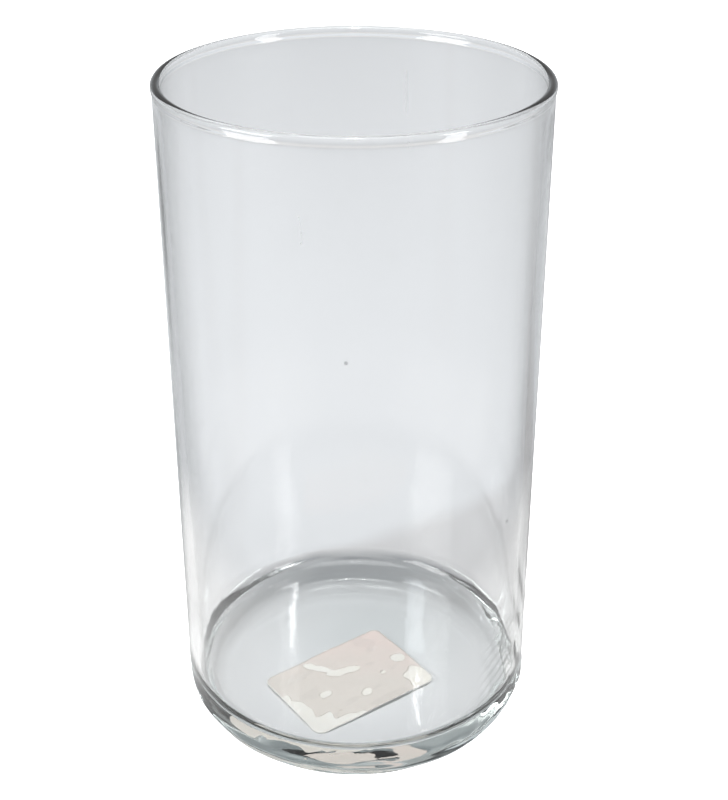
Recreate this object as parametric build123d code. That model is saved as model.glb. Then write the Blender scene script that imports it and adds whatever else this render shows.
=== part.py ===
"""Glass cylinder vase: one blown glass body, and the paper label that is stuck under its base.

Millimetres. +Z is up, and the origin is at the middle of the base, on the plane the vase stands on.
"""

import math
import os

from build123d import *

# Overall size of the glass
outer_diameter = 101.6  # straight outside wall
height = 190.5  # resting plane to the top of the rim

# Walls and floor
rim_wall = 2.0  # wall thickness just under the rim
base_wall = 2.8  # wall thickness where the wall meets the floor
floor_height = 11.5  # inside floor above the resting plane
inner_heel_radius = 5.5  # round between the floor and the wall, inside

# Fire-polished rim: a rounded lip, slightly thicker than the wall
lip_swell = 0.3  # how far the lip stands out of the wall, on each side
lip_height = 3.2  # top of the rim down to where the swell ends

# Outer heel: two rounds, one into the other, from the resting ring up to the wall
heel_radius = 12.0  # upper round, below the wall
foot_radius = 4.0  # tighter round, next to the resting ring
foot_slope = 25.0  # degrees, how steep the glass is where the two rounds meet

# Underside: a narrow resting ring around a shallow dome, the push-up
bearing_width = 1.0
push_up = 1.8  # top of the dome above the resting plane

# Self-adhesive label, curved to the dome
label_length = 43.0
label_width = 30.0
label_turn = 36.0  # degrees from +X to the label's long side
label_side = -102.0  # degrees from +X to the side of the base the label is pushed towards
label_clearance = 6.0  # from the label's outermost corner to the resting ring
adhesive_thickness = 0.03
paper_thickness = 0.10

# Worked out from the sizes above
outer_radius = outer_diameter / 2
foot_across = math.sin(math.radians(foot_slope))
foot_up = math.cos(math.radians(foot_slope))
heel_rise = foot_radius * (1 - foot_up) + heel_radius * foot_up
bearing_outer = outer_radius - heel_radius * (1 - foot_across) - foot_radius * foot_across
bearing_inner = bearing_outer - bearing_width
dome_radius = (bearing_inner**2 + push_up**2) / (2 * push_up)
lip_half = (rim_wall + 2 * lip_swell) / 2
inner_rim_radius = outer_radius - rim_wall
lip_outer = outer_radius + lip_swell
lip_inner = inner_rim_radius - lip_swell
shoulder_z = height - lip_half  # the lip is a half circle above this
neck_z = height - lip_height
label_diagonal = math.hypot(label_length, label_width)
label_offset = bearing_inner - label_clearance - label_diagonal / 2


def round_step(start, end, direction):
    """Two equal arcs that leave start and reach end along the same direction."""
    middle = ((start[0] + end[0]) / 2, (start[1] + end[1]) / 2)
    first = TangentArc(start, middle, tangent=direction)
    second = TangentArc(middle, end, tangent=first % 1)
    return [first, second]


def underside_edges():
    """Shallow dome and resting ring, from the axis outwards."""
    dome = TangentArc((0, push_up), (bearing_inner, 0), tangent=(1, 0))
    ring = Line((bearing_inner, 0), (bearing_outer, 0))
    return [dome, ring]


def outside_edges():
    """Foot, heel and straight wall, up to the neck under the lip."""
    foot = CenterArc((bearing_outer, foot_radius), foot_radius, 270, foot_slope)
    heel = CenterArc((outer_radius - heel_radius, heel_rise), heel_radius, 270 + foot_slope, 90 - foot_slope)
    wall = Line((outer_radius, heel_rise), (outer_radius, neck_z))
    return [foot, heel, wall]


def lip_edges():
    """Rounded lip: it swells out of the wall, turns over in a half circle and comes back inside."""
    swell = round_step((outer_radius, neck_z), (lip_outer, shoulder_z), (0, 1))
    crest = CenterArc(((lip_outer + lip_inner) / 2, shoulder_z), lip_half, 0, 180)
    inner_swell = round_step((lip_inner, shoulder_z), (inner_rim_radius, neck_z), (0, -1))
    return [*swell, crest, *inner_swell]


def inside_edges():
    """Tapered inside wall, inner heel and flat floor, back to the axis."""
    corner = (outer_radius - base_wall, floor_height)
    inside = FilletPolyline((inner_rim_radius, neck_z), corner, (0, floor_height), radius=inner_heel_radius)
    axis_line = Line((0, floor_height), (0, push_up))
    return [*inside.edges(), axis_line]


def glass_vase():
    """The whole glass body is one solid of revolution."""
    outline = [*underside_edges(), *outside_edges(), *lip_edges(), *inside_edges()]
    section = Plane.XZ * make_face(outline)
    return revolve(section, Axis.Z)


def ball_under_dome(gap):
    """A ball that lies under the dome with an even gap to the glass."""
    upright = Rot(90, 0, 0)  # turns the ball's poles away from the label
    return Pos(0, 0, push_up - dome_radius) * upright * Sphere(dome_radius - gap)


def label_layer(thickness, gap):
    """One layer of the label, curved to the dome, with an even gap between it and the glass."""
    middle = Vector(label_offset, 0).rotate(Axis.Z, label_side)
    blank = Box(label_length, label_width, 4 * push_up)
    placed = Pos(middle.X, middle.Y) * Rot(0, 0, label_turn) * blank
    return (placed & ball_under_dome(gap)) - ball_under_dome(gap + thickness)


nodes = {
    "glass_vase": glass_vase(),
    "label_adhesive": label_layer(adhesive_thickness, 0),
    "base_label": label_layer(paper_thickness, adhesive_thickness),
}

os.makedirs("parts", exist_ok=True)
for name, shape in nodes.items():
    export_step(shape, f"parts/{name}.step")
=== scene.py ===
"""Glass cylinder vase: the blown glass, the label gummed under its base, and a small studio around them."""

import math

import bmesh
import bpy
from bpy.props import FloatProperty, FloatVectorProperty, IntProperty, PointerProperty
from mathutils import Euler, Matrix, Vector, noise


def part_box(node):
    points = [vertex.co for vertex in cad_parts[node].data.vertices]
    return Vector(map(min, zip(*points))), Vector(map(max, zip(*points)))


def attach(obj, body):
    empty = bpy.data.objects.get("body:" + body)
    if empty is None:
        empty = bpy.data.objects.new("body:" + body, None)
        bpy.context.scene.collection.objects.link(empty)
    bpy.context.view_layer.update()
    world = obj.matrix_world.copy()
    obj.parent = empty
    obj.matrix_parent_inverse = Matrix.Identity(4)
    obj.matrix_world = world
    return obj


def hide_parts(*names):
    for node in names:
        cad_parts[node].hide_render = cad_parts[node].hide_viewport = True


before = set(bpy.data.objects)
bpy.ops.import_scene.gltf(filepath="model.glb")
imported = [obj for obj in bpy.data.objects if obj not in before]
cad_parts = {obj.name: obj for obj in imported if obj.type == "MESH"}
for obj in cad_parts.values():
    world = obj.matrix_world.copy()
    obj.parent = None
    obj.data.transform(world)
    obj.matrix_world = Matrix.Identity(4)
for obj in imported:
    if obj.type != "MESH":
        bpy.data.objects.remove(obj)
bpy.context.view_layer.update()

bl_info = {
    "name": "Glass Cylinder Vase",
    "version": (1, 0, 0),
    "blender": (4, 5, 0),
    "location": "3D View > Sidebar > Vase",
    "description": "Builds a florist's glass cylinder vase with its base label and a pale studio",
    "category": "Object",
}

BODY = "root"
MM = 0.001
GLASS_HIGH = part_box("glass_vase")[1]
LABEL_LOW, LABEL_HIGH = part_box("base_label")
GUM_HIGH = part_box("label_adhesive")[1]


# ---------------------------------------------------------------- sizes and colours

class VaseGlassSettings(bpy.types.PropertyGroup):
    """Shape and finish of the blown glass. Its height and width come from the frame."""

    rim_wall: FloatProperty(
        name="Rim wall", description="Wall thickness just under the lip",
        default=2.0 * MM, unit="LENGTH", precision=4)
    base_wall: FloatProperty(
        name="Base wall", description="Wall thickness where the wall meets the floor",
        default=2.8 * MM, unit="LENGTH", precision=4)
    lip_swell: FloatProperty(
        name="Lip swell", description="How far the lip stands out of the wall on each side",
        default=0.3 * MM, unit="LENGTH", precision=4)
    lip_height: FloatProperty(
        name="Lip height", description="Top of the lip down to where its swell ends",
        default=3.2 * MM, unit="LENGTH", precision=4)
    heel_radius: FloatProperty(
        name="Heel radius", description="Radius of the rounded outside heel, below the wall",
        default=12.0 * MM, unit="LENGTH", precision=4)
    foot_radius: FloatProperty(
        name="Foot radius", description="Radius of the tighter round between the heel and the standing ring",
        default=4.0 * MM, unit="LENGTH", precision=4)
    foot_slope: FloatProperty(
        name="Foot slope", description="Slope of the glass where the foot's round meets the heel's",
        default=math.radians(25.0), subtype="ANGLE")
    ring_width: FloatProperty(
        name="Standing ring", description="Width of the flat ring the vase stands on",
        default=1.0 * MM, unit="LENGTH", precision=4)
    floor_height: FloatProperty(
        name="Floor height", description="Inside floor above the plane the vase stands on",
        default=11.5 * MM, unit="LENGTH", precision=4)
    inner_heel: FloatProperty(
        name="Inner heel", description="Radius of the round between the floor and the wall",
        default=5.5 * MM, unit="LENGTH", precision=4)
    wall_ripple: FloatProperty(
        name="Wall ripple", description="How far the inside wall strays from a true cone",
        default=0.10 * MM, unit="LENGTH", precision=5)
    floor_sag: FloatProperty(
        name="Floor sag", description="How far the inside floor strays from a true plane",
        default=0.03 * MM, unit="LENGTH", precision=5)
    cord_depth: FloatProperty(
        name="Cord depth", description="Height of the slanting glass cords near the heel",
        default=0.10 * MM, unit="LENGTH", precision=5)
    cord_pitch: FloatProperty(
        name="Cord pitch", description="Height from one slanting cord to the next",
        default=3.4 * MM, unit="LENGTH", precision=5)
    foot_waves: FloatProperty(
        name="Foot waves", description="Height of the long uneven waves around the foot, left by the mould",
        default=0.20 * MM, unit="LENGTH", precision=5)
    lip_wave: FloatProperty(
        name="Lip wave", description="How far the top of the lip strays from level",
        default=0.12 * MM, unit="LENGTH", precision=5)
    sides: IntProperty(
        name="Sides", description="Faces around the vase", default=288, min=48)
    tint: FloatVectorProperty(
        name="Tint", description="Colour that the surface lets through",
        default=(0.992, 0.991, 0.993), size=3, subtype="COLOR")
    depth_colour: FloatVectorProperty(
        name="Depth colour", description="Colour that thick glass takes on",
        default=(0.82, 0.88, 0.865), size=3, subtype="COLOR")
    depth_density: FloatProperty(
        name="Depth density", description="How fast thick glass takes on its colour, per metre",
        default=15.0)


class VaseLabelSettings(bpy.types.PropertyGroup):
    """The self-adhesive label under the base. Its place and layers come from the frame."""

    length: FloatProperty(
        name="Length", description="Long side of the label",
        default=43.0 * MM, unit="LENGTH", precision=4)
    width: FloatProperty(
        name="Width", description="Short side of the label",
        default=30.0 * MM, unit="LENGTH", precision=4)
    turn: FloatProperty(
        name="Turn", description="Angle from +X to the label's long side",
        default=math.radians(36.0), subtype="ANGLE")
    corner: FloatProperty(
        name="Corner", description="Radius of the label's cut corners",
        default=2.6 * MM, unit="LENGTH", precision=4)
    paper_thickness: FloatProperty(
        name="Paper thickness", description="Thickness of the paper",
        default=0.10 * MM, unit="LENGTH", precision=5)
    gum_thickness: FloatProperty(
        name="Gum thickness", description="Thickness of the gum between the paper and the glass",
        default=0.03 * MM, unit="LENGTH", precision=5)
    wetting: FloatProperty(
        name="Wetting", description="How far the gum is sunk into the glass where no air is between them",
        default=0.015 * MM, unit="LENGTH", precision=6)
    crease: FloatProperty(
        name="Crease", description="How far the paper hangs away where the gum has let go",
        default=0.25 * MM, unit="LENGTH", precision=5)
    paper_colour: FloatVectorProperty(
        name="Paper colour", description="Colour of the aged paper",
        default=(0.97, 0.96, 0.93), size=3, subtype="COLOR")
    gum_colour: FloatVectorProperty(
        name="Gum colour", description="Colour of the gum where it wets the glass",
        default=(0.64, 0.58, 0.53), size=3, subtype="COLOR")
    blush_colour: FloatVectorProperty(
        name="Blush colour", description="Pinkish colour where the gum is thicker",
        default=(0.80, 0.61, 0.57), size=3, subtype="COLOR")


class VaseStageSettings(bpy.types.PropertyGroup):
    """Floor, light and camera."""

    floor_white: FloatVectorProperty(
        name="Floor", description="The pale floor where the camera sees it directly",
        default=(0.98, 0.98, 0.98), size=3, subtype="COLOR")
    floor_in_glass: FloatVectorProperty(
        name="Floor in glass", description="The same floor as it shows through and in the glass",
        default=(0.76, 0.78, 0.80), size=3, subtype="COLOR")
    floor_under: FloatVectorProperty(
        name="Floor under the vase",
        description="The floor right under the vase, seen through its base",
        default=(0.80, 0.81, 0.83), size=3, subtype="COLOR")
    # painted shade: the floor under the vase, darker behind the label
    floor_under_painted_shade: FloatVectorProperty(
        name="Dim floor under the vase",
        description="The same floor behind the label, where less light gets in",
        default=(0.66, 0.69, 0.705), size=3, subtype="COLOR")
    # painted shade: the colour of the floor where the heel seems to shade it
    painted_heel_shade: FloatVectorProperty(
        name="Floor in shade", description="The floor where the heel of the vase shades it",
        default=(0.33, 0.345, 0.36), size=3, subtype="COLOR")
    # painted shadow: how much of the floor's colour the broad soft shadow behind the vase leaves
    painted_soft_shadow: FloatVectorProperty(
        name="Soft shadow",
        description="What the broad soft shadow behind the vase leaves of the floor's light",
        default=(0.84, 0.82, 0.81), size=3, subtype="COLOR")
    floor_drop: FloatProperty(
        name="Floor drop", description="Floor below the standing ring, so that the two aren't on one plane",
        default=0.03 * MM, unit="LENGTH", precision=5)
    window_strength: FloatProperty(
        name="Window strength", description="Power of the left window light, in watts",
        default=4.5, subtype="POWER")
    mouth_strength: FloatProperty(
        name="Mouth strength", description="Power of the spot down into the mouth, in watts",
        default=28.0, subtype="POWER")
    overhead_strength: FloatProperty(
        name="Overhead strength", description="Strength of the even light from above",
        default=0.95)
    distance: FloatProperty(
        name="Distance", description="Camera to the middle of the vase",
        default=412.9 * MM, unit="LENGTH", precision=4)
    pitch: FloatProperty(
        name="Pitch", description="How far the camera looks down",
        default=math.radians(28.1), subtype="ANGLE")
    lens: FloatProperty(
        name="Lens", description="Focal length, in millimetres",
        default=65.9, subtype="DISTANCE_CAMERA")
    aim_right: FloatProperty(
        name="Aim right", description="How far right of the vase's axis the camera aims",
        default=2.5 * MM, unit="LENGTH", precision=4)
    aim_up: FloatProperty(
        name="Aim up", description="How far above the vase's middle the camera aims, in its view",
        default=2.2 * MM, unit="LENGTH", precision=4)


# ---------------------------------------------------------------- outlines and meshes

def stretch(start, end, count):
    """Evenly spaced points from start up to, but without, end."""
    return [tuple(a + (b - a) * i / count for a, b in zip(start, end)) for i in range(count)]


def round_part(centre, radii, start, end, count):
    """Points along part of an ellipse, from start to end in degrees, without the last one."""
    found = []
    for i in range(count):
        angle = math.radians(start + (end - start) * i / count)
        found.append((centre[0] + radii[0] * math.cos(angle), centre[1] + radii[1] * math.sin(angle)))
    return found


def ease(share):
    """Smooth step from 0 to 1."""
    share = min(max(share, 0.0), 1.0)
    return share * share * (3 - 2 * share)


def swell(start, end, count, along_r):
    """Points of a smooth S from start to end that leaves and arrives along r, or along z."""
    found = []
    for i in range(count):
        share = i / count
        bend = ease(share)
        r_share, z_share = (share, bend) if along_r else (bend, share)
        found.append((start[0] + (end[0] - start[0]) * r_share, start[1] + (end[1] - start[1]) * z_share))
    return found


def standing_ring(settings):
    """Outer radius of the ring the vase stands on, and the height where the heel meets the wall."""
    across, up = math.sin(settings.foot_slope), math.cos(settings.foot_slope)
    outer = GLASS_HIGH.x - settings.lip_swell
    ring_outer = outer - settings.heel_radius * (1 - across) - settings.foot_radius * across
    heel_rise = settings.foot_radius * (1 - up) + settings.heel_radius * up
    return ring_outer, heel_rise


def dome_radius(settings):
    """Radius of the shallow dome under the base, from the push-up's height and the standing ring."""
    ring_inner = standing_ring(settings)[0] - settings.ring_width
    return (ring_inner ** 2 + GUM_HIGH.z ** 2) / (2 * GUM_HIGH.z)


def glass_outline(settings):
    """The glass's section as (kind, r, z) points, from the axis under the base to the axis on the floor."""
    height = GLASS_HIGH.z
    outer = GLASS_HIGH.x - settings.lip_swell
    inner_rim = outer - settings.rim_wall
    ring_outer, heel_rise = standing_ring(settings)
    ring_inner = ring_outer - settings.ring_width
    push_up = GUM_HIGH.z
    dome = dome_radius(settings)
    dome_end = math.degrees(math.acos(ring_inner / dome))
    foot = (settings.foot_radius, settings.foot_radius)
    heel = (settings.heel_radius, settings.heel_radius)
    inner_heel = (settings.inner_heel, settings.inner_heel)
    lip_half = settings.rim_wall / 2 + settings.lip_swell
    lip_middle = outer + settings.lip_swell - lip_half
    shoulder = height - lip_half
    neck = height - settings.lip_height
    corner = outer - settings.base_wall
    lean = math.atan2(corner - inner_rim, neck - settings.floor_height)
    slope = math.degrees(settings.foot_slope)
    floor_edge = corner - settings.inner_heel
    heel_top = settings.floor_height + settings.inner_heel
    parts = [
        ("under", round_part((0, push_up - dome), (dome, dome), 90, dome_end, 30)),
        ("ring", stretch((ring_inner, 0), (ring_outer, 0), 3)),
        ("outside", round_part((ring_outer, settings.foot_radius), foot, -90, slope - 90, 8)),
        ("outside", round_part((outer - settings.heel_radius, heel_rise), heel, slope - 90, 0, 32)),
        ("outside", stretch((outer, heel_rise), (outer, neck), 64)),
        ("lip", swell((outer, neck), (outer + settings.lip_swell, shoulder), 8, False)),
        ("lip", round_part((lip_middle, shoulder), (lip_half, lip_half), 0, 180, 22)),
        ("lip", swell((lip_middle - lip_half, shoulder), (inner_rim, neck), 8, False)),
        ("inside", stretch((inner_rim, neck), (corner, heel_top), 64)),
        ("inside", round_part((floor_edge, heel_top), inner_heel, math.degrees(lean), -90, 18)),
        ("floor", stretch((floor_edge, settings.floor_height), (0, settings.floor_height), 26)),
        ("floor", [(0, settings.floor_height)]),
    ]
    return [(kind, r, z) for kind, points in parts for r, z in points]


def drift(angle, z, around, along, seed):
    """Smooth noise from -1 to 1 on the wall, the same at both ends of a turn."""
    return noise.noise(Vector((math.cos(angle) * around + seed, math.sin(angle) * around, z * along)))


def hand_blown(kind, r, z, angle, settings):
    """Moves a point of the perfect section to where hot glass would really set."""
    height = GLASS_HIGH.z
    if kind == "inside":
        fade = ease((z - settings.floor_height) / (20 * MM)) * ease((height - z) / (25 * MM))
        ripple = 0.75 * drift(angle, z, 1.4, 14.0, 3.0) + 0.25 * drift(angle, z, 5.0, 9.0, 11.0)
        r += settings.wall_ripple * 2 * ripple * fade
    if kind in ("floor", "inside") and z < settings.floor_height + settings.inner_heel:
        away = r / (GLASS_HIGH.x * 0.9)
        z += settings.floor_sag * 2 * drift(angle, 0.0, 1.6 * away, 1.0, 7.0) * ease(1.4 - away)
    if kind == "outside":
        turn = math.remainder(angle + 0.35, math.tau)
        near_side = math.exp(-(turn / 0.55) ** 2)
        low = ease((z - 2 * MM) / (6 * MM)) * ease((62 * MM - z) / (34 * MM))
        phase = math.tau * (angle * r * 0.42 - z) / settings.cord_pitch
        uneven = 1 + 0.9 * drift(angle, z, 6.0, 60.0, 21.0)
        r += settings.cord_depth * near_side * low * math.sin(phase + 2 * uneven) * uneven
        r += 0.02 * MM * drift(angle, z, 4.0, 20.0, 31.0) * ease((height - z) / (12 * MM))
        foot = ease(z / (2.5 * MM)) * ease((17 * MM - z) / (8 * MM))
        r += settings.foot_waves * 2 * drift(angle, z, 3.2, 330.0, 51.0) * foot
    if kind == "lip":
        crest = ease((z - height + settings.lip_height) / (2 * MM))
        z += settings.lip_wave * drift(angle, 0.0, 1.7, 1.0, 41.0) * crest
    return r, z


def lathe(name, outline, sides, shape):
    """Turns the outline into a closed mesh, moving each point by shape(kind, r, z, angle)."""
    mesh = bmesh.new()
    first = mesh.verts.new((0, 0, outline[0][2]))
    last = mesh.verts.new((0, 0, outline[-1][2]))
    rings = []
    for kind, r, z in outline[1:-1]:
        ring = []
        for i in range(sides):
            angle = math.tau * i / sides
            new_r, new_z = shape(kind, r, z, angle)
            ring.append(mesh.verts.new((new_r * math.cos(angle), new_r * math.sin(angle), new_z)))
        rings.append(ring)
    for i in range(sides):
        j = (i + 1) % sides
        mesh.faces.new((first, rings[0][j], rings[0][i]))
        mesh.faces.new((last, rings[-1][i], rings[-1][j]))
        for low, high in zip(rings, rings[1:]):
            mesh.faces.new((low[i], low[j], high[j], high[i]))
    return finish_mesh(name, mesh)


def finish_mesh(name, mesh):
    """Makes a smooth-shaded object of a bmesh and links it to the scene."""
    data = bpy.data.meshes.new(name)
    bmesh.ops.recalc_face_normals(mesh, faces=mesh.faces)
    for face in mesh.faces:
        face.smooth = True
    mesh.to_mesh(data)
    mesh.free()
    made = bpy.data.objects.new(name, data)
    bpy.context.scene.collection.objects.link(made)
    return made


def label_place(settings):
    """Matrix from the label's own frame, long side along X, to the row frame at height 0."""
    middle = (LABEL_LOW + LABEL_HIGH) / 2
    return Matrix.Translation((middle.x, middle.y, 0)) @ Matrix.Rotation(settings.turn, 4, "Z")


# Spots where the gum has let go of the glass, in the label's own frame: middle and half sizes in
# millimetres, and turn in degrees.
LOOSE_SPOTS = [
    ((-20.6, -3.5), (3.4, 7.5), 6),
    ((-18.5, -12.0), (6.5, 4.6), -8),
    ((-10.5, -14.6), (5.6, 2.4), -14),
    ((0.9, 3.7), (5.6, 1.5), -14),
    ((-5.4, 10.0), (5.4, 1.3), -56),
    ((-9.4, -1.7), (1.7, 1.3), 0),
    ((0.9, -7.6), (1.8, 1.2), 25),
    ((17.9, -0.6), (2.2, 1.7), 15),
    ((18.0, -11.6), (4.2, 5.0), -20),
    ((10.0, -3.7), (0.8, 0.6), 20),
]


def looseness(x, y):
    """How loose the label is at a point of its own frame: 0 where stuck, 1 in the middle of a loose spot."""
    most = 0.0
    for seed, ((cx, cy), (half_x, half_y), turn) in enumerate(LOOSE_SPOTS):
        local = Vector((x - cx * MM, y - cy * MM, 0))
        local.rotate(Euler((0, 0, -math.radians(turn))))
        away = math.hypot(local.x / (half_x * MM), local.y / (half_y * MM))
        ragged = 0.45 * noise.noise(Vector((x, y, 0)) * 300 + Vector((0, 0, seed)))
        most = max(most, 1.5 - away * (1 + ragged))
    return min(max(most, 0.0), 1.0)


def rounded_sheet(length, width, corner, x, y):
    """Pulls a point of the full rectangle in so that the corners come out round."""
    over_x = abs(x) - (length / 2 - corner)
    over_y = abs(y) - (width / 2 - corner)
    if over_x > 0 and over_y > 0:
        reach = max(over_x, over_y)
        scale = reach / math.hypot(over_x, over_y)
        x = math.copysign(length / 2 - corner + over_x * scale, x)
        y = math.copysign(width / 2 - corner + over_y * scale, y)
    return x, y


def label_grid(settings, inset, cell):
    """Points of the label in its own frame, row by row, and the quads between them."""
    length, width = settings.length - 2 * inset, settings.width - 2 * inset
    columns, rows = round(length / cell), round(width / cell)
    points = []
    for i in range(columns + 1):
        for j in range(rows + 1):
            x, y = length * (i / columns - 0.5), width * (j / rows - 0.5)
            points.append(rounded_sheet(length, width, settings.corner, x, y))
    quads = []
    for i in range(columns):
        for j in range(rows):
            first = i * (rows + 1) + j
            quads.append((first, first + rows + 1, first + rows + 2, first + 1))
    return points, quads


def cut_loose(points, quads, cell):
    """Moves points near the edge of each loose spot onto that edge, and drops the quads inside the spots."""
    limit, step = 0.5, cell / 8
    kept_side = []
    for n, (x, y) in enumerate(points):
        value = looseness(x, y) - limit
        along_x = looseness(x + step, y) - looseness(x - step, y)
        along_y = looseness(x, y + step) - looseness(x, y - step)
        slope = Vector((along_x, along_y)) / (2 * step)
        if slope.length > 0 and abs(value) < slope.length * cell * 0.6:
            x -= value * slope.x / slope.length_squared
            y -= value * slope.y / slope.length_squared
            points[n] = (x, y)
            value = 0.0
        kept_side.append(value <= 1e-6)
    return points, [quad for quad in quads if all(kept_side[n] for n in quad)]


def thick_sheet(name, points, quads, thickness, place, top):
    """A closed sheet: the quads at height top(x, y), with their under side and cut edges."""
    mesh = bmesh.new()
    used = sorted({n for quad in quads for n in quad})
    upper, lower = {}, {}
    for n in used:
        x, y = points[n]
        spot = place @ Vector((x, y, 0))
        high = top(x, y, spot)
        upper[n] = mesh.verts.new((spot.x, spot.y, high))
        lower[n] = mesh.verts.new((spot.x, spot.y, high - thickness))
    sides = {}
    for quad in quads:
        mesh.faces.new([upper[n] for n in quad])
        mesh.faces.new([lower[n] for n in reversed(quad)])
        for a, b in zip(quad, quad[1:] + quad[:1]):
            if (b, a) in sides:
                del sides[b, a]
            else:
                sides[a, b] = True
    for a, b in sides:
        mesh.faces.new((upper[b], upper[a], lower[a], lower[b]))
    return finish_mesh(name, mesh)


def dome_height(spot):
    """Height of the underside of the glass over a point of the base."""
    glass = bpy.context.scene.vase_glass
    radius = dome_radius(glass)
    return GUM_HIGH.z - radius + math.sqrt(radius ** 2 - spot.x ** 2 - spot.y ** 2)


def paper_sheet(name, settings):
    """The label's paper, which hangs a little away from the glass wherever the gum has let go."""

    def top(x, y, spot):
        cockle = 0.6 + 0.4 * noise.noise(Vector((x, y, 0.3)) * 420)
        gap = settings.gum_thickness + settings.crease * looseness(x, y) * cockle
        room = dome_height(spot) - settings.paper_thickness
        return dome_height(spot) - min(gap, max(room - 0.03 * MM, settings.gum_thickness))

    points, quads = label_grid(settings, 0.0, 0.4 * MM)
    return thick_sheet(name, points, quads, settings.paper_thickness, label_place(settings), top)


def gum_film(name, settings):
    """The gum: a thin film, open at every loose spot, that wets the glass in patches."""
    cell = 0.35 * MM

    def top(x, y, spot):
        grip = noise.noise(Vector((x * 110, y * 260, 5.0))) * 5 + 1.5
        return dome_height(spot) + settings.wetting * min(max(grip, -0.5), 1.0)

    points, quads = label_grid(settings, 0.2 * MM, cell)
    points, quads = cut_loose(points, quads, cell)
    thickness = settings.gum_thickness * 0.9 + settings.wetting
    return thick_sheet(name, points, quads, thickness, label_place(settings), top)


def fit_in(piece, slot_name, *nodes):
    """Rides the piece on the vase and hides the frame nodes it stands for. The finish's name, slot_name, is
    not used.
    """
    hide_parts(*nodes)
    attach(piece, BODY)


# ---------------------------------------------------------------- materials

def add(tree, kind, settings=None, **inputs):
    """Adds a node. Inputs are values or sockets, by name with _ for a space, or by number as i0, i1."""
    made = tree.nodes.new(kind)
    for name, value in (settings or {}).items():
        setattr(made, name, value)
    for name, value in inputs.items():
        key = int(name[1:]) if name[1:].isdigit() else name.replace("_", " ")
        if isinstance(value, bpy.types.NodeSocket):
            tree.links.new(value, made.inputs[key])
        else:
            made.inputs[key].default_value = value
    return made


def maths(tree, operation, first, second=0.0, clamp=False):
    """The output of a Math node."""
    made = add(tree, "ShaderNodeMath", {"operation": operation, "use_clamp": clamp}, i0=first, i1=second)
    return made.outputs["Value"]


def vector_maths(tree, operation, first, second=(0, 0, 0)):
    """The output of a Vector Math node: a number if it measures, a vector if not."""
    made = add(tree, "ShaderNodeVectorMath", {"operation": operation}, i0=first, i1=second)
    measures = operation in ("LENGTH", "DISTANCE", "DOT_PRODUCT")
    return made.outputs["Value" if measures else "Vector"]


def ramp(tree, value, stops):
    """The colour output of a Color Ramp with (position, colour) stops."""
    made = add(tree, "ShaderNodeValToRGB", None, Fac=value)
    elements = made.color_ramp.elements
    while len(elements) < len(stops):
        elements.new(0.5)
    for element, (position, colour) in zip(elements, stops):
        element.position = position
        element.color = (*colour, 1) if len(colour) == 3 else colour
    return made.outputs["Color"]


def grey(value):
    """A grey colour as three equal numbers."""
    return (value,) * 3


def grey_ramp(tree, value, *stops):
    """The output of a Color Ramp through grey levels, given as (position, level) stops."""
    return ramp(tree, value, [(position, grey(level)) for position, level in stops])


def fade_out(tree, distance, full, none):
    """A mask that is 1 up to one distance and falls to 0 at another. Both are in millimetres."""
    left = maths(tree, "SUBTRACT", none * MM, distance)
    return maths(tree, "DIVIDE", left, (none - full) * MM, clamp=True)


def mix(tree, share, first, second):
    """The colour output of a Mix node."""
    made = add(tree, "ShaderNodeMix", {"data_type": "RGBA"}, Factor=share)
    for key, value in ((6, first), (7, second)):
        if isinstance(value, bpy.types.NodeSocket):
            tree.links.new(value, made.inputs[key])
        else:
            made.inputs[key].default_value = (*value, 1)
    return made.outputs[2]


def multiply(tree, first, second):
    """The colour output of a Mix node that multiplies two colours."""
    kind = {"data_type": "RGBA", "blend_type": "MULTIPLY"}
    return add(tree, "ShaderNodeMix", kind, Factor=1.0, i6=first, i7=second).outputs[2]


def new_material(name):
    """An empty node material with its output, and its object coordinates."""
    material = bpy.data.materials.new(name)
    material.use_nodes = True
    tree = material.node_tree
    tree.nodes.clear()
    output = tree.nodes.new("ShaderNodeOutputMaterial")
    place = tree.nodes.new("ShaderNodeTexCoord").outputs["Object"]
    return material, tree, output, place


def new_group(name, inputs, outputs):
    """A shader node group with named float inputs, a vector to read, and named outputs."""
    group = bpy.data.node_groups.new(name, "ShaderNodeTree")
    group.interface.new_socket("Vector", in_out="INPUT", socket_type="NodeSocketVector")
    for socket, default in inputs:
        made = group.interface.new_socket(socket, in_out="INPUT", socket_type="NodeSocketFloat")
        made.default_value = default
    for socket in outputs:
        group.interface.new_socket(socket, in_out="OUTPUT", socket_type="NodeSocketFloat")
    source = group.nodes.new("NodeGroupInput")
    sink = group.nodes.new("NodeGroupOutput")
    return group, source.outputs, sink.inputs


def specks_group():
    """Small scattered specks, as of dust, seeds in glass or flecks in paper."""
    group, given, out = new_group("Specks", [("Scale", 900.0), ("Amount", 0.1)], ["Mask"])
    kind = {"feature": "F1"}
    cells = add(group, "ShaderNodeTexVoronoi", kind, Vector=given["Vector"], Scale=given["Scale"])
    chance = add(group, "ShaderNodeSeparateColor", None, Color=cells.outputs["Color"])
    chosen = maths(group, "LESS_THAN", chance.outputs["Red"], given["Amount"])
    size = maths(group, "MULTIPLY", chance.outputs["Green"], 0.35)
    dot = maths(group, "LESS_THAN", cells.outputs["Distance"], size)
    group.links.new(maths(group, "MULTIPLY", chosen, dot), out["Mask"])
    return group


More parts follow.
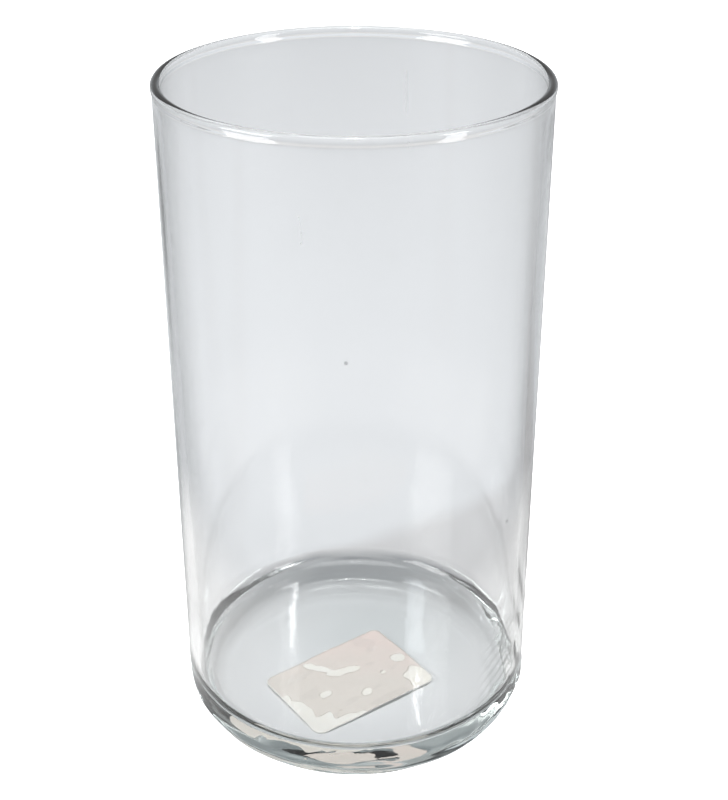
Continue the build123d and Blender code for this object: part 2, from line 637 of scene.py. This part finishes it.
def cloud_group():
    """Soft uneven clouds at two sizes, from 0 to 1."""
    group, given, out = new_group("Clouds", [("Scale", 40.0), ("Contrast", 1.0)], ["Value"])
    vector, scale = given["Vector"], given["Scale"]
    fine_scale = maths(group, "MULTIPLY", scale, 5.7)
    wide = add(group, "ShaderNodeTexNoise", None, Vector=vector, Scale=scale, Detail=3.0, Roughness=0.55)
    fine = add(group, "ShaderNodeTexNoise", None, Vector=vector, Scale=fine_scale, Detail=2.0, Roughness=0.5)
    wide_part = maths(group, "MULTIPLY", wide.outputs["Fac"], 0.75)
    fine_part = maths(group, "MULTIPLY", fine.outputs["Fac"], 0.25)
    centred = maths(group, "SUBTRACT", maths(group, "ADD", wide_part, fine_part), 0.5)
    spread = maths(group, "MULTIPLY", centred, given["Contrast"])
    group.links.new(maths(group, "ADD", spread, 0.5, clamp=True), out["Value"])
    return group


def cords_group():
    """Slanting cords, as of unevenly mixed glass, low on the right side of the wall; from 0 to 1."""
    group, given, out = new_group("Cords", [("Pitch", 3.4 * MM), ("Slant", 21.0 * MM)], ["Value"])
    spot = add(group, "ShaderNodeSeparateXYZ", None, Vector=given["Vector"]).outputs
    turn = maths(group, "ARCTAN2", spot["Y"], spot["X"])
    wobble = add(group, "ShaderNodeTexNoise", None, Vector=given["Vector"], Scale=70.0, Detail=2.0)
    along = maths(group, "SUBTRACT", maths(group, "MULTIPLY", turn, given["Slant"]), spot["Z"])
    shift = maths(group, "MULTIPLY", wobble.outputs["Fac"], 1.6)
    phase = maths(group, "ADD", maths(group, "DIVIDE", along, given["Pitch"]), shift)
    wave = maths(group, "SINE", maths(group, "MULTIPLY", phase, math.tau))
    sharp = maths(group, "MULTIPLY", maths(group, "SUBTRACT", wave, 0.1), 1.6, clamp=True)
    off_centre = maths(group, "ABSOLUTE", maths(group, "ADD", turn, 0.25))
    near_side = maths(group, "SUBTRACT", 1.9, maths(group, "MULTIPLY", off_centre, 3.2), clamp=True)
    low = maths(group, "SUBTRACT", 2.0, maths(group, "MULTIPLY", spot["Z"], 40.0), clamp=True)
    flat = add(group, "ShaderNodeCombineXYZ", None, X=spot["X"], Y=spot["Y"]).outputs["Vector"]
    between_walls = 49.3 * MM  # from the axis, inside the glass: only the outer wall is farther out
    outside = maths(group, "GREATER_THAN", vector_maths(group, "LENGTH", flat), between_walls)
    both = maths(group, "MULTIPLY", maths(group, "MULTIPLY", near_side, low), outside)
    group.links.new(maths(group, "MULTIPLY", sharp, both), out["Value"])
    return group


def use_group(tree, name, vector, **inputs):
    """The first output of a shared node group, which is made once."""
    makers = {"Specks": specks_group, "Clouds": cloud_group, "Cords": cords_group}
    group = bpy.data.node_groups.get(name) or makers[name]()
    made = add(tree, "ShaderNodeGroup", {"node_tree": group}, Vector=vector, **inputs)
    return made.outputs[0]


def stretched(tree, place, scale):
    """Coordinates scaled unevenly, so that a texture comes out drawn along one axis."""
    return add(tree, "ShaderNodeMapping", None, Vector=place, Scale=scale).outputs["Vector"]


def patch(tree, place, middle, reach):
    """A soft mask, 1 in the middle of an oval patch and 0 outside it. Sizes are in millimetres."""
    moved = vector_maths(tree, "SUBTRACT", place, tuple(c * MM for c in middle))
    scaled = vector_maths(tree, "DIVIDE", moved, tuple(c * MM for c in reach))
    inward = maths(tree, "SUBTRACT", 1.0, vector_maths(tree, "LENGTH", scaled))
    return maths(tree, "MULTIPLY", inward, 2.0, clamp=True)


def glass_material(settings):
    """Clear fire-polished glass: faint vertical drag, cords, two seeds, a smear, a streak, a little dust, and
    a scuffed standing ring. Painted shade darkens the wall towards its edges, and darkens the cords where the
    glass is seen from the side."""
    material, tree, output, place = new_material("clear_glass")
    drag = use_group(tree, "Clouds", stretched(tree, place, (1, 1, 0.12)), Scale=55.0, Contrast=1.2)
    skin = use_group(tree, "Clouds", place, Scale=420.0, Contrast=1.0)
    height = maths(tree, "ADD", maths(tree, "MULTIPLY", drag, 0.85), maths(tree, "MULTIPLY", skin, 0.15))
    bump = add(tree, "ShaderNodeBump", None, Strength=0.05, Distance=0.0006, Height=height)
    dust = use_group(tree, "Specks", place, Scale=340.0, Amount=0.014)
    up = add(tree, "ShaderNodeSeparateXYZ", None, Vector=place).outputs["Z"]
    on_ring = maths(tree, "LESS_THAN", up, 0.25 * MM)
    scuffs = use_group(tree, "Clouds", place, Scale=700.0, Contrast=5.0)
    worn = maths(tree, "MULTIPLY", on_ring, scuffs)
    wisps = use_group(tree, "Clouds", stretched(tree, place, (1, 1, 0.3)), Scale=300.0, Contrast=4.0)
    smear = maths(tree, "MULTIPLY", patch(tree, place, (-12.3, -49.2, 169), (2.6, 3, 8)), wisps)
    streak = patch(tree, place, (14.9, 48.3, 172), (0.7, 3, 12))
    marks = maths(tree, "ADD", smear, streak)
    rough = maths(tree, "ADD", maths(tree, "MULTIPLY", dust, 0.15), maths(tree, "MULTIPLY", worn, 0.2))
    rough = maths(tree, "ADD", rough, maths(tree, "MULTIPLY", marks, 0.3))
    tint = mix(tree, maths(tree, "MULTIPLY", dust, 0.15), settings.tint, (0.72, 0.72, 0.70))
    seed_high = patch(tree, place, (-1.8, -50.7, 134.8), (0.6, 1.2, 0.7))
    seed_low = patch(tree, place, (41.1, -29.9, 76.7), (0.6, 1.2, 0.7))
    tint = mix(tree, maths(tree, "ADD", seed_high, seed_low, clamp=True), tint, grey(0.4))
    edge = add(tree, "ShaderNodeLayerWeight", None, Blend=0.5).outputs["Facing"]
    # the cords are real bands in the glass and are also shaped in the mesh; the grey they tint it where it is
    # seen from the side is painted shade
    from_the_side = maths(tree, "MULTIPLY", maths(tree, "SUBTRACT", edge, 0.3), 4.0, clamp=True)
    cords = use_group(tree, "Cords", place, Pitch=settings.cord_pitch)
    cords = maths(tree, "MULTIPLY", cords, from_the_side)
    tint = mix(tree, maths(tree, "MULTIPLY", cords, 0.9), tint, (0.34, 0.37, 0.34))
    # painted shade: above the heel the wall's colour greys towards its edges, where the glass is seen from
    # the side
    wall_only = maths(tree, "MULTIPLY", maths(tree, "SUBTRACT", up, 8 * MM), 30.0, clamp=True)
    painted_edge_shade = maths(tree, "MULTIPLY", edge, wall_only)
    shade = grey_ramp(tree, painted_edge_shade, (0.0, 1.0), (0.52, 1.0), (0.72, 0.78), (0.9, 0.62), (1.0, 0.8))
    surface = add(
        tree, "ShaderNodeBsdfPrincipled", None, Base_Color=multiply(tree, tint, shade), Roughness=rough,
        IOR=1.52, Transmission_Weight=1.0, Normal=bump.outputs["Normal"]).outputs["BSDF"]
    colour = (*settings.depth_colour, 1)
    depth = add(tree, "ShaderNodeVolumeAbsorption", None, Color=colour, Density=settings.depth_density)
    stops = ((0.0, 0.98), (0.5, 0.96), (0.66, 0.92), (0.83, 0.8), (0.94, 0.65), (1.0, 0.5))
    clear = add(tree, "ShaderNodeBsdfTransparent", None, Color=grey_ramp(tree, edge, *stops)).outputs["BSDF"]
    for_lamps = tree.nodes.new("ShaderNodeLightPath").outputs["Is Shadow Ray"]
    both = add(tree, "ShaderNodeMixShader", None, i0=for_lamps, i1=surface, i2=clear)
    tree.links.new(both.outputs["Shader"], output.inputs["Surface"])
    tree.links.new(depth.outputs["Volume"], output.inputs["Volume"])
    return material


def paper_material(settings):
    """Uncoated label paper: fibre mottling, flecks and a soft fibrous surface."""
    material, tree, output, place = new_material("label_paper")
    fibres = use_group(tree, "Clouds", stretched(tree, place, (1, 2.2, 1)), Scale=900.0, Contrast=1.6)
    age = use_group(tree, "Clouds", place, Scale=60.0, Contrast=2.0)
    flecks = use_group(tree, "Specks", place, Scale=1500.0, Amount=0.03)
    light = settings.paper_colour
    worn = tuple(c * k for c, k in zip(light, (0.93, 0.89, 0.82)))
    aged = mix(tree, age, light, worn)
    fibrous = mix(tree, maths(tree, "MULTIPLY", fibres, 0.25), aged, tuple(c * 0.85 for c in light))
    colour = mix(tree, maths(tree, "MULTIPLY", flecks, 0.5), fibrous, (0.42, 0.36, 0.29))
    bump = add(tree, "ShaderNodeBump", None, Strength=0.5, Distance=0.00003, Height=fibres)
    rough = maths(tree, "ADD", maths(tree, "MULTIPLY", fibres, 0.15), 0.78)
    surface = add(
        tree, "ShaderNodeBsdfPrincipled", None, Base_Color=colour, Roughness=rough,
        Normal=bump.outputs["Normal"])
    surface.inputs["Sheen Weight"].default_value = 0.1
    tree.links.new(surface.outputs["BSDF"], output.inputs["Surface"])
    return material


def gum_material(settings):
    """Dried gum against the glass: beige, pinkish towards one end, with the paper's fibres showing."""
    material, tree, output, place = new_material("label_gum")
    fibres = use_group(tree, "Clouds", stretched(tree, place, (1, 2.2, 1)), Scale=900.0, Contrast=1.2)
    patches = use_group(tree, "Clouds", place, Scale=95.0, Contrast=3.0)
    flecks = use_group(tree, "Specks", place, Scale=700.0, Amount=0.05)
    across = add(tree, "ShaderNodeSeparateXYZ", None, Vector=place).outputs["Y"]
    far_end = maths(tree, "ADD", maths(tree, "MULTIPLY", across, 35.0), 0.35, clamp=True)
    some = maths(tree, "ADD", maths(tree, "MULTIPLY", patches, 0.6), 0.4)
    blushed = mix(tree, maths(tree, "MULTIPLY", far_end, some), settings.gum_colour, settings.blush_colour)
    fibrous = mix(tree, maths(tree, "MULTIPLY", fibres, 0.3), blushed, settings.paper_colour)
    colour = mix(tree, maths(tree, "MULTIPLY", flecks, 0.35), fibrous, (0.45, 0.38, 0.32))
    bump = add(tree, "ShaderNodeBump", None, Strength=0.3, Distance=0.00002, Height=patches)
    rough = maths(tree, "ADD", maths(tree, "MULTIPLY", patches, 0.2), 0.35)
    surface = add(
        tree, "ShaderNodeBsdfPrincipled", None, Base_Color=colour, Roughness=rough,
        Normal=bump.outputs["Normal"])
    tree.links.new(surface.outputs["BSDF"], output.inputs["Surface"])
    return material


# ---------------------------------------------------------------- stage

def white_to_the_camera(tree, seen, otherwise):
    """A colour that is one thing where the camera sees it directly and another in and through the glass."""
    direct = tree.nodes.new("ShaderNodeLightPath").outputs["Is Camera Ray"]
    return mix(tree, direct, otherwise, seen)


def floor_in_glass(tree, place, settings):
    """The floor as the glass shows it, with light and shade painted into its colour: a little paler under the
    vase, with painted shade in a soft patch behind the label, painted shade where the heel stands and just
    behind it, a broad painted soft shadow up to a slanting edge farther back, painted shade off to the sides,
    painted white light close beside the vase, and white again far away, where it meets the horizon."""
    spot = add(tree, "ShaderNodeSeparateXYZ", None, Vector=place).outputs
    away = vector_maths(tree, "LENGTH", place)
    turn = maths(tree, "ARCTAN2", spot["X"], spot["Y"])
    side = maths(tree, "DIVIDE", maths(tree, "ABSOLUTE", turn), math.pi)  # 0 behind the vase, 1 in front
    # painted shade: the floor's colour is darker off to the sides of the vase
    painted_side_shade = grey_ramp(tree, side, (0.17, 1.0), (0.25, 0.8), (0.42, 0.8), (0.6, 0.95))
    toned = multiply(tree, (*settings.floor_in_glass, 1), painted_side_shade)
    distant = maths(tree, "DIVIDE", away, 3.0)  # 1 at three metres
    far = grey_ramp(tree, distant, (0.33, 0.0), (0.8, 1.0))
    toned = mix(tree, far, toned, settings.floor_white)

    # painted shadow: a broad soft shadow band on the floor behind the vase, up to a slanting edge
    square_to_edge = (-0.481, 0.877, 0)  # across the slanting edge of the soft shadow
    across = vector_maths(tree, "DOT_PRODUCT", place, square_to_edge)
    edge = maths(tree, "DIVIDE", across, 100 * MM)
    shadow = settings.painted_soft_shadow
    painted_shadow_band = ramp(tree, edge, [(0.0, grey(1.0)), (0.1, shadow), (0.60, shadow), (0.70, grey(1.0))])
    toned = multiply(tree, toned, painted_shadow_band)

    # painted light: the floor turns white on the vase's flanks, 60 to 124 mm from its axis
    beside = grey_ramp(tree, side, (0.2, 0.0), (0.34, 1.0), (0.72, 1.0), (0.86, 0.3))
    reach = maths(tree, "DIVIDE", away, 200 * MM)
    close = grey_ramp(tree, reach, (0.26, 0.0), (0.3, 1.0), (0.62, 1.0), (0.85, 0.0))
    toned = mix(tree, multiply(tree, beside, close), toned, settings.floor_white)

    # painted shade: a ring of darker floor around the heel, darkest behind the vase
    shade = fade_out(tree, vector_maths(tree, "DISTANCE", place, (2 * MM, 6 * MM, 0)), 50, 62)
    open_side = grey_ramp(tree, side, (0.08, 1.0), (0.2, 0.7), (0.36, 0.2), (0.64, 0.2), (0.8, 0.9))
    shaded = mix(tree, multiply(tree, shade, open_side), toned, settings.painted_heel_shade)

    # painted shade: the floor under the base is darker in a soft patch just behind its middle
    behind = fade_out(tree, vector_maths(tree, "DISTANCE", place, (5 * MM, 14 * MM, 0)), 8, 36)
    inside = mix(tree, behind, settings.floor_under, settings.floor_under_painted_shade)
    return mix(tree, fade_out(tree, away, 40, 45), shaded, inside)


def make_floor(settings):
    """A wide pale floor, a hair below the standing ring."""
    mesh = bmesh.new()
    bmesh.ops.create_circle(mesh, cap_ends=True, segments=96, radius=6.0)
    floor = finish_mesh("floor", mesh)
    material, tree, output, place = new_material("floor")
    colour = white_to_the_camera(tree, settings.floor_white, floor_in_glass(tree, place, settings))
    surface = add(tree, "ShaderNodeBsdfPrincipled", None, Base_Color=colour, Roughness=1.0)
    surface.inputs["Specular IOR Level"].default_value = 0.0
    surface.inputs["Emission Color"].default_value = (1, 1, 1, 1)
    direct = tree.nodes.new("ShaderNodeLightPath").outputs["Is Camera Ray"]
    tree.links.new(direct, surface.inputs["Emission Strength"])
    tree.links.new(surface.outputs["BSDF"], output.inputs["Surface"])
    floor.data.materials.append(material)
    floor.location.z = -settings.floor_drop


def make_world():
    """A room that is bright at the horizon and dim above it, and white behind the vase."""
    world = bpy.data.worlds.new("studio")
    bpy.context.scene.world = world
    world.use_nodes = True
    tree = world.node_tree
    tree.nodes.clear()
    output = tree.nodes.new("ShaderNodeOutputWorld")
    direction = tree.nodes.new("ShaderNodeTexCoord").outputs["Generated"]
    up = add(tree, "ShaderNodeSeparateXYZ", None, Vector=direction).outputs["Z"]
    horizon, above = (0.80, 0.83, 0.86), (0.66, 0.69, 0.72)
    overhead = [(0.28, grey(0.45)), (0.75, grey(0.42)), (1.0, grey(0.6))]
    room = ramp(tree, up, [(0.0, horizon), (0.12, above), *overhead])
    colour = white_to_the_camera(tree, grey(1.0), room)
    background = add(tree, "ShaderNodeBackground", None, Color=colour, Strength=1.0)
    tree.links.new(background.outputs["Background"], output.inputs["Surface"])


def aim(obj, target):
    """Points a lamp or camera at target."""
    obj.rotation_euler = (target - obj.location).to_track_quat("-Z", "Y").to_euler()


def window_light(name, azimuth, elevation, distance, size, power, colour=(1, 1, 1)):
    """A rectangular soft light around the vase; azimuth 0 is the camera's side, and grows to the right."""
    data = bpy.data.lights.new(name, "AREA")
    data.shape = "RECTANGLE"
    data.size, data.size_y = size
    data.energy = power
    data.color = colour
    lamp = bpy.data.objects.new(name, data)
    bpy.context.scene.collection.objects.link(lamp)
    turn, lift = math.radians(azimuth), math.radians(elevation)
    middle = Vector((0, 0, GLASS_HIGH.z / 2))
    towards = Vector((math.sin(turn) * math.cos(lift), -math.cos(turn) * math.cos(lift), math.sin(lift)))
    lamp.location = middle + towards * distance
    aim(lamp, middle)
    lamp.visible_camera = False
    return lamp


def mirrored_light(name, spot, size, power, colour=(1, 1, 1)):
    """A small far light that the camera sees mirrored at a spot of the inside floor, given in millimetres."""
    floor = bpy.context.scene.vase_glass.floor_height
    seen_at = Vector((spot[0] * MM, spot[1] * MM, floor))
    ray = (seen_at - bpy.context.scene.camera.location).normalized()
    ray.z = -ray.z
    lamp = window_light(name, 0, 0, 1, size, power, colour)
    lamp.location = seen_at + ray * 1.5
    aim(lamp, seen_at)
    return lamp


def make_lights(settings):
    """Two window-like lights in front, far lights that the inside floor mirrors, a spot down into the
    mouth, and an even soft light from above."""
    power = settings.window_strength
    window_light("left_window", -62, 32, 0.9, (0.45, 0.45), power)
    window_light("right_window", 58, 28, 0.9, (0.2, 0.45), power * 0.45)
    mirrored_light("far_strip_left", (-27, 15), (0.008, 0.11), 0.026)
    mirrored_light("far_strip_right", (24, -25), (0.008, 0.06), 0.018)
    mirrored_light("far_window", (25, 18), (0.045, 0.11), 0.035, (0.9, 0.96, 1.0))
    data = bpy.data.lights.new("into_the_mouth", "SPOT")
    data.energy = settings.mouth_strength
    data.spot_size = math.radians(5.5)
    data.spot_blend = 0.4
    data.shadow_soft_size = 0.03
    mouth = bpy.data.objects.new("into_the_mouth", data)
    mouth.location = (0, 0, 1.2)
    bpy.context.scene.collection.objects.link(mouth)
    data = bpy.data.lights.new("overhead", "SUN")
    data.energy = settings.overhead_strength
    data.angle = math.radians(36)
    overhead = bpy.data.objects.new("overhead", data)
    bpy.context.scene.collection.objects.link(overhead)


def make_camera(settings):
    """The camera, looking down at the vase from the front."""
    data = bpy.data.cameras.new("camera")
    data.lens = settings.lens
    data.sensor_width = 36.0
    data.clip_start = 0.01
    camera = bpy.data.objects.new("camera", data)
    bpy.context.scene.collection.objects.link(camera)
    forward = Vector((0, math.cos(settings.pitch), -math.sin(settings.pitch)))
    upward = Vector((0, math.sin(settings.pitch), math.cos(settings.pitch)))
    target = Vector((settings.aim_right, 0, GLASS_HIGH.z / 2)) + upward * settings.aim_up
    camera.location = target - forward * settings.distance
    camera.rotation_euler = (math.pi / 2 - settings.pitch, 0, 0)
    bpy.context.scene.camera = camera


# ---------------------------------------------------------------- operators, panel and registration

class VASE_OT_stage(bpy.types.Operator):
    """Make the floor, the room, the lights and the camera"""

    bl_idname = "vase.stage"
    bl_label = "Stage"

    def execute(self, context):
        scene = context.scene
        make_camera(scene.vase_stage)
        make_floor(scene.vase_stage)
        make_world()
        make_lights(scene.vase_stage)
        scene.view_settings.view_transform = "Standard"
        scene.cycles.max_bounces = 32
        scene.cycles.transmission_bounces = 32
        scene.cycles.transparent_max_bounces = 16
        scene.cycles.caustics_refractive = False
        scene.cycles.caustics_reflective = False
        return {"FINISHED"}


class VASE_OT_glass(bpy.types.Operator):
    """Blow the vase itself"""

    bl_idname = "vase.glass"
    bl_label = "Glass"

    def execute(self, context):
        settings = context.scene.vase_glass
        outline = glass_outline(settings)
        if min(r for _, r, _ in outline) < 0:
            raise ValueError("the glass is too narrow for its heel and standing ring")

        def shape(kind, r, z, angle):
            return hand_blown(kind, r, z, angle, settings)

        glass = lathe("vase_glass", outline, settings.sides, shape)
        glass.data.materials.append(glass_material(settings))
        fit_in(glass, "clear_glass", "glass_vase")
        return {"FINISHED"}


class VASE_OT_label(bpy.types.Operator):
    """Stick the label under the base: its gum and its paper"""

    bl_idname = "vase.label"
    bl_label = "Label"

    def execute(self, context):
        settings = context.scene.vase_label
        gum = gum_film("label_gum_film", settings)
        gum.data.materials.append(gum_material(settings))
        fit_in(gum, "label_gum", "label_adhesive")
        paper = paper_sheet("label_paper_sheet", settings)
        paper.data.materials.append(paper_material(settings))
        fit_in(paper, "label_paper", "base_label")
        return {"FINISHED"}


class VASE_PT_panel(bpy.types.Panel):
    """The vase's pieces and their settings"""

    bl_label = "Glass Cylinder Vase"
    bl_idname = "VASE_PT_panel"
    bl_space_type = "VIEW_3D"
    bl_region_type = "UI"
    bl_category = "Vase"

    def draw(self, context):
        layout = self.layout
        for operator, group in PIECES:
            layout.operator(operator)
            settings = getattr(context.scene, group)
            for name in settings.__annotations__:
                layout.prop(settings, name)


PIECES = [("vase.stage", "vase_stage"), ("vase.glass", "vase_glass"), ("vase.label", "vase_label")]
SETTINGS = {"vase_stage": VaseStageSettings, "vase_glass": VaseGlassSettings, "vase_label": VaseLabelSettings}
CLASSES = [*SETTINGS.values(), VASE_OT_stage, VASE_OT_glass, VASE_OT_label, VASE_PT_panel]


def register():
    for cls in CLASSES:
        bpy.utils.register_class(cls)
    for name, cls in SETTINGS.items():
        setattr(bpy.types.Scene, name, PointerProperty(type=cls))


def unregister():
    for name in SETTINGS:
        delattr(bpy.types.Scene, name)
    for cls in reversed(CLASSES):
        bpy.utils.unregister_class(cls)


def main():
    """Builds everything."""
    register()
    bpy.ops.vase.stage()
    bpy.ops.vase.glass()
    bpy.ops.vase.label()


if __name__ == "__main__":
    main()
